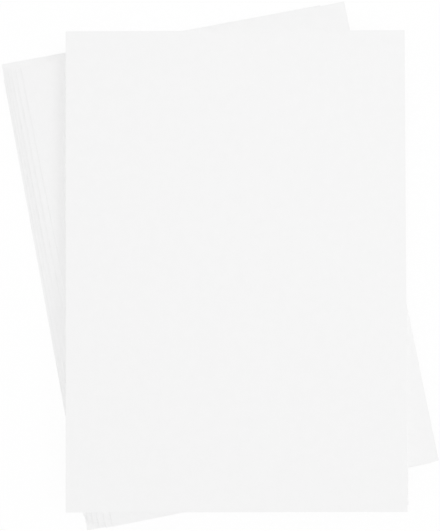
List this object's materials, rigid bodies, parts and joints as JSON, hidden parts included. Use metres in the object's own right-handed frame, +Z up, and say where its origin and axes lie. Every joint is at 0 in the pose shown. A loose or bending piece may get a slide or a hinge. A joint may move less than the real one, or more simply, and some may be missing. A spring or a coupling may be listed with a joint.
{
  "type": "pack of cardstock",
  "caption": "Loose plain white A4 card sheets: an upright squared pile lying on a turned, slightly fanned pile.",
  "frame": {"origin": "on the surface that the pack lies on, under the middle of the top sheet", "axes": "+Z up; +Y along the long edges of the upright sheets, towards the head edge; +X along their short edges, to the right"},
  "size_m": [0.279, 0.3393, 0.02],
  "materials": {
    "card": "uncoated white card, matt, with a fine tooth"
  },
  "bodies": {
    "root": {"lower_sheet_01": "card", "lower_sheet_02": "card", "lower_sheet_03": "card", "lower_sheet_04": "card", "lower_sheet_05": "card", "lower_sheet_06": "card", "lower_sheet_07": "card", "lower_sheet_08": "card", "lower_sheet_09": "card", "lower_sheet_10": "card", "lower_sheet_11": "card", "lower_sheet_12": "card", "lower_sheet_13": "card", "lower_sheet_14": "card", "lower_sheet_15": "card", "lower_sheet_16": "card", "lower_sheet_17": "card", "lower_sheet_18": "card", "lower_sheet_19": "card", "lower_sheet_20": "card", "lower_sheet_21": "card", "lower_sheet_22": "card", "lower_sheet_23": "card", "lower_sheet_24": "card", "lower_sheet_25": "card", "upper_sheet_01": "card", "upper_sheet_02": "card", "upper_sheet_03": "card", "upper_sheet_04": "card", "upper_sheet_05": "card", "upper_sheet_06": "card", "upper_sheet_07": "card", "upper_sheet_08": "card", "upper_sheet_09": "card", "upper_sheet_10": "card", "upper_sheet_11": "card", "upper_sheet_12": "card", "upper_sheet_13": "card", "upper_sheet_14": "card", "upper_sheet_15": "card", "upper_sheet_16": "card", "upper_sheet_17": "card", "upper_sheet_18": "card", "upper_sheet_19": "card", "upper_sheet_20": "card", "upper_sheet_21": "card", "upper_sheet_22": "card", "upper_sheet_23": "card", "upper_sheet_24": "card", "upper_sheet_25": "card"}
  },
  "joints": []
}
